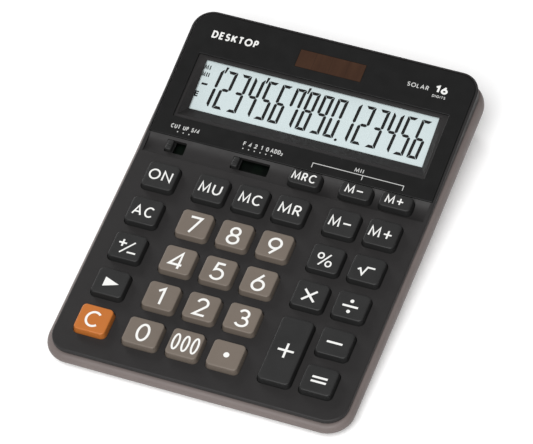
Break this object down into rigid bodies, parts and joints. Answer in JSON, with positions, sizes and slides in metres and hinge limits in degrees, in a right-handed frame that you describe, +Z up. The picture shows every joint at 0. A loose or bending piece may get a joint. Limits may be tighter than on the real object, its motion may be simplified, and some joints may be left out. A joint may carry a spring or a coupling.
{
  "type": "desk calculator",
  "caption": "Wedge-shaped desktop calculator with low square-sided push keys, two slide switches in a hollow step, and an inclined wide display with a solar window.",
  "frame": {"origin": "on the desk plane under the middle of the calculator, midway between its sides and between its front and rear", "axes": "+Z up, +X towards the user's right, +Y from the keys towards the display; the calculator rests on its four feet"},
  "size_m": [0.1554, 0.209, 0.0351],
  "materials": {
    "dark_case": "fine matt texture",
    "warm_case": "satin",
    "dark_key": "satin",
    "grey_key": "satin",
    "orange_key": "satin",
    "display_fascia": "smooth satin",
    "clear_window": "clear",
    "lcd": "smooth",
    "solar_window": "clear tinted",
    "solar_cell": "smooth",
    "circuit_board": "solder mask",
    "silicone": "soft",
    "black_plastic": "matt",
    "foot_rubber": "matt",
    "bright_steel": "plated"
  },
  "bodies": {
    "case": {"upper_case": "dark_case", "lower_case": "warm_case", "main_board": "circuit_board", "key_mat": "silicone", "display_panel": "display_fascia", "solar_window": "solar_window", "solar_cell": "solar_cell", "display_window": "clear_window", "lcd_glass": "lcd", "lcd_frame": "black_plastic", "lcd_connector": "silicone", "foot_front_left": "foot_rubber", "foot_front_right": "foot_rubber", "foot_rear_left": "foot_rubber", "foot_rear_right": "foot_rubber", "case_screw_front_left": "bright_steel", "case_screw_front_right": "bright_steel", "case_screw_rear_left": "bright_steel", "case_screw_rear_right": "bright_steel", "battery_cover": "warm_case", "battery_cover_screw": "bright_steel", "battery": "bright_steel", "battery_contact_side": "bright_steel", "battery_contact_top": "bright_steel"},
    "key_c": {"key_c": "orange_key"},
    "key_0": {"key_0": "grey_key"},
    "key_000": {"key_000": "grey_key"},
    "key_decimal": {"key_decimal": "grey_key"},
    "key_equals": {"key_equals": "dark_key"},
    "key_backspace": {"key_backspace": "dark_key"},
    "key_1": {"key_1": "grey_key"},
    "key_2": {"key_2": "grey_key"},
    "key_3": {"key_3": "grey_key"},
    "key_minus": {"key_minus": "dark_key"},
    "key_sign": {"key_sign": "dark_key"},
    "key_4": {"key_4": "grey_key"},
    "key_5": {"key_5": "grey_key"},
    "key_6": {"key_6": "grey_key"},
    "key_multiply": {"key_multiply": "dark_key"},
    "key_divide": {"key_divide": "dark_key"},
    "key_ac": {"key_ac": "dark_key"},
    "key_7": {"key_7": "grey_key"},
    "key_8": {"key_8": "grey_key"},
    "key_9": {"key_9": "grey_key"},
    "key_percent": {"key_percent": "dark_key"},
    "key_root": {"key_root": "dark_key"},
    "key_on": {"key_on": "dark_key"},
    "key_mu": {"key_mu": "dark_key"},
    "key_mc": {"key_mc": "dark_key"},
    "key_mr": {"key_mr": "dark_key"},
    "key_m_minus": {"key_m_minus": "dark_key"},
    "key_m_plus": {"key_m_plus": "dark_key"},
    "key_plus": {"key_plus": "dark_key"},
    "key_second_mrc": {"key_second_mrc": "dark_key"},
    "key_second_m_minus": {"key_second_m_minus": "dark_key"},
    "key_second_m_plus": {"key_second_m_plus": "dark_key"},
    "rounding_switch": {"rounding_switch_knob": "dark_key", "rounding_switch_wiper": "bright_steel"},
    "decimal_switch": {"decimal_switch_knob": "dark_key", "decimal_switch_wiper": "bright_steel"}
  },
  "joints": [
    {"name": "key_c_press", "type": "slide", "parent": "case", "child": "key_c", "axis": [0, -0.0785, 0.9969], "range_m": [-0.0018, 0], "stiffness_N_per_m": 400, "springref_m": 0.0008},
    {"name": "key_0_press", "type": "slide", "parent": "case", "child": "key_0", "axis": [0, -0.0785, 0.9969], "range_m": [-0.0018, 0], "stiffness_N_per_m": 400, "springref_m": 0.0008},
    {"name": "key_000_press", "type": "slide", "parent": "case", "child": "key_000", "axis": [0, -0.0785, 0.9969], "range_m": [-0.0018, 0], "stiffness_N_per_m": 400, "springref_m": 0.0008},
    {"name": "key_decimal_press", "type": "slide", "parent": "case", "child": "key_decimal", "axis": [0, -0.0785, 0.9969], "range_m": [-0.0018, 0], "stiffness_N_per_m": 400, "springref_m": 0.0008},
    {"name": "key_equals_press", "type": "slide", "parent": "case", "child": "key_equals", "axis": [0, -0.0785, 0.9969], "range_m": [-0.0018, 0], "stiffness_N_per_m": 400, "springref_m": 0.0008},
    {"name": "key_backspace_press", "type": "slide", "parent": "case", "child": "key_backspace", "axis": [0, -0.0785, 0.9969], "range_m": [-0.0018, 0], "stiffness_N_per_m": 400, "springref_m": 0.0008},
    {"name": "key_1_press", "type": "slide", "parent": "case", "child": "key_1", "axis": [0, -0.0785, 0.9969], "range_m": [-0.0018, 0], "stiffness_N_per_m": 400, "springref_m": 0.0008},
    {"name": "key_2_press", "type": "slide", "parent": "case", "child": "key_2", "axis": [0, -0.0785, 0.9969], "range_m": [-0.0018, 0], "stiffness_N_per_m": 400, "springref_m": 0.0008},
    {"name": "key_3_press", "type": "slide", "parent": "case", "child": "key_3", "axis": [0, -0.0785, 0.9969], "range_m": [-0.0018, 0], "stiffness_N_per_m": 400, "springref_m": 0.0008},
    {"name": "key_minus_press", "type": "slide", "parent": "case", "child": "key_minus", "axis": [0, -0.0785, 0.9969], "range_m": [-0.0018, 0], "stiffness_N_per_m": 400, "springref_m": 0.0008},
    {"name": "key_sign_press", "type": "slide", "parent": "case", "child": "key_sign", "axis": [0, -0.0785, 0.9969], "range_m": [-0.0018, 0], "stiffness_N_per_m": 400, "springref_m": 0.0008},
    {"name": "key_4_press", "type": "slide", "parent": "case", "child": "key_4", "axis": [0, -0.0785, 0.9969], "range_m": [-0.0018, 0], "stiffness_N_per_m": 400, "springref_m": 0.0008},
    {"name": "key_5_press", "type": "slide", "parent": "case", "child": "key_5", "axis": [0, -0.0785, 0.9969], "range_m": [-0.0018, 0], "stiffness_N_per_m": 400, "springref_m": 0.0008},
    {"name": "key_6_press", "type": "slide", "parent": "case", "child": "key_6", "axis": [0, -0.0785, 0.9969], "range_m": [-0.0018, 0], "stiffness_N_per_m": 400, "springref_m": 0.0008},
    {"name": "key_multiply_press", "type": "slide", "parent": "case", "child": "key_multiply", "axis": [0, -0.0785, 0.9969], "range_m": [-0.0018, 0], "stiffness_N_per_m": 400, "springref_m": 0.0008},
    {"name": "key_divide_press", "type": "slide", "parent": "case", "child": "key_divide", "axis": [0, -0.0785, 0.9969], "range_m": [-0.0018, 0], "stiffness_N_per_m": 400, "springref_m": 0.0008},
    {"name": "key_ac_press", "type": "slide", "parent": "case", "child": "key_ac", "axis": [0, -0.0785, 0.9969], "range_m": [-0.0018, 0], "stiffness_N_per_m": 400, "springref_m": 0.0008},
    {"name": "key_7_press", "type": "slide", "parent": "case", "child": "key_7", "axis": [0, -0.0785, 0.9969], "range_m": [-0.0018, 0], "stiffness_N_per_m": 400, "springref_m": 0.0008},
    {"name": "key_8_press", "type": "slide", "parent": "case", "child": "key_8", "axis": [0, -0.0785, 0.9969], "range_m": [-0.0018, 0], "stiffness_N_per_m": 400, "springref_m": 0.0008},
    {"name": "key_9_press", "type": "slide", "parent": "case", "child": "key_9", "axis": [0, -0.0785, 0.9969], "range_m": [-0.0018, 0], "stiffness_N_per_m": 400, "springref_m": 0.0008},
    {"name": "key_percent_press", "type": "slide", "parent": "case", "child": "key_percent", "axis": [0, -0.0785, 0.9969], "range_m": [-0.0018, 0], "stiffness_N_per_m": 400, "springref_m": 0.0008},
    {"name": "key_root_press", "type": "slide", "parent": "case", "child": "key_root", "axis": [0, -0.0785, 0.9969], "range_m": [-0.0018, 0], "stiffness_N_per_m": 400, "springref_m": 0.0008},
    {"name": "key_on_press", "type": "slide", "parent": "case", "child": "key_on", "axis": [0, -0.0785, 0.9969], "range_m": [-0.0018, 0], "stiffness_N_per_m": 400, "springref_m": 0.0008},
    {"name": "key_mu_press", "type": "slide", "parent": "case", "child": "key_mu", "axis": [0, -0.0785, 0.9969], "range_m": [-0.0018, 0], "stiffness_N_per_m": 400, "springref_m": 0.0008},
    {"name": "key_mc_press", "type": "slide", "parent": "case", "child": "key_mc", "axis": [0, -0.0785, 0.9969], "range_m": [-0.0018, 0], "stiffness_N_per_m": 400, "springref_m": 0.0008},
    {"name": "key_mr_press", "type": "slide", "parent": "case", "child": "key_mr", "axis": [0, -0.0785, 0.9969], "range_m": [-0.0018, 0], "stiffness_N_per_m": 400, "springref_m": 0.0008},
    {"name": "key_m_minus_press", "type": "slide", "parent": "case", "child": "key_m_minus", "axis": [0, -0.0785, 0.9969], "range_m": [-0.0018, 0], "stiffness_N_per_m": 400, "springref_m": 0.0008},
    {"name": "key_m_plus_press", "type": "slide", "parent": "case", "child": "key_m_plus", "axis": [0, -0.0785, 0.9969], "range_m": [-0.0018, 0], "stiffness_N_per_m": 400, "springref_m": 0.0008},
    {"name": "key_plus_press", "type": "slide", "parent": "case", "child": "key_plus", "axis": [0, -0.0785, 0.9969], "range_m": [-0.0018, 0], "stiffness_N_per_m": 400, "springref_m": 0.0008},
    {"name": "key_second_mrc_press", "type": "slide", "parent": "case", "child": "key_second_mrc", "axis": [0, -0.0785, 0.9969], "range_m": [-0.0018, 0], "stiffness_N_per_m": 400, "springref_m": 0.0008},
    {"name": "key_second_m_minus_press", "type": "slide", "parent": "case", "child": "key_second_m_minus", "axis": [0, -0.0785, 0.9969], "range_m": [-0.0018, 0], "stiffness_N_per_m": 400, "springref_m": 0.0008},
    {"name": "key_second_m_plus_press", "type": "slide", "parent": "case", "child": "key_second_m_plus", "axis": [0, -0.0785, 0.9969], "range_m": [-0.0018, 0], "stiffness_N_per_m": 400, "springref_m": 0.0008},
    {"name": "rounding_switch_slide", "type": "slide", "parent": "case", "child": "rounding_switch", "axis": [1, 0, 0], "range_m": [0, 0.006]},
    {"name": "decimal_switch_slide", "type": "slide", "parent": "case", "child": "decimal_switch", "axis": [1, 0, 0], "range_m": [0, 0.015]}
  ]
}
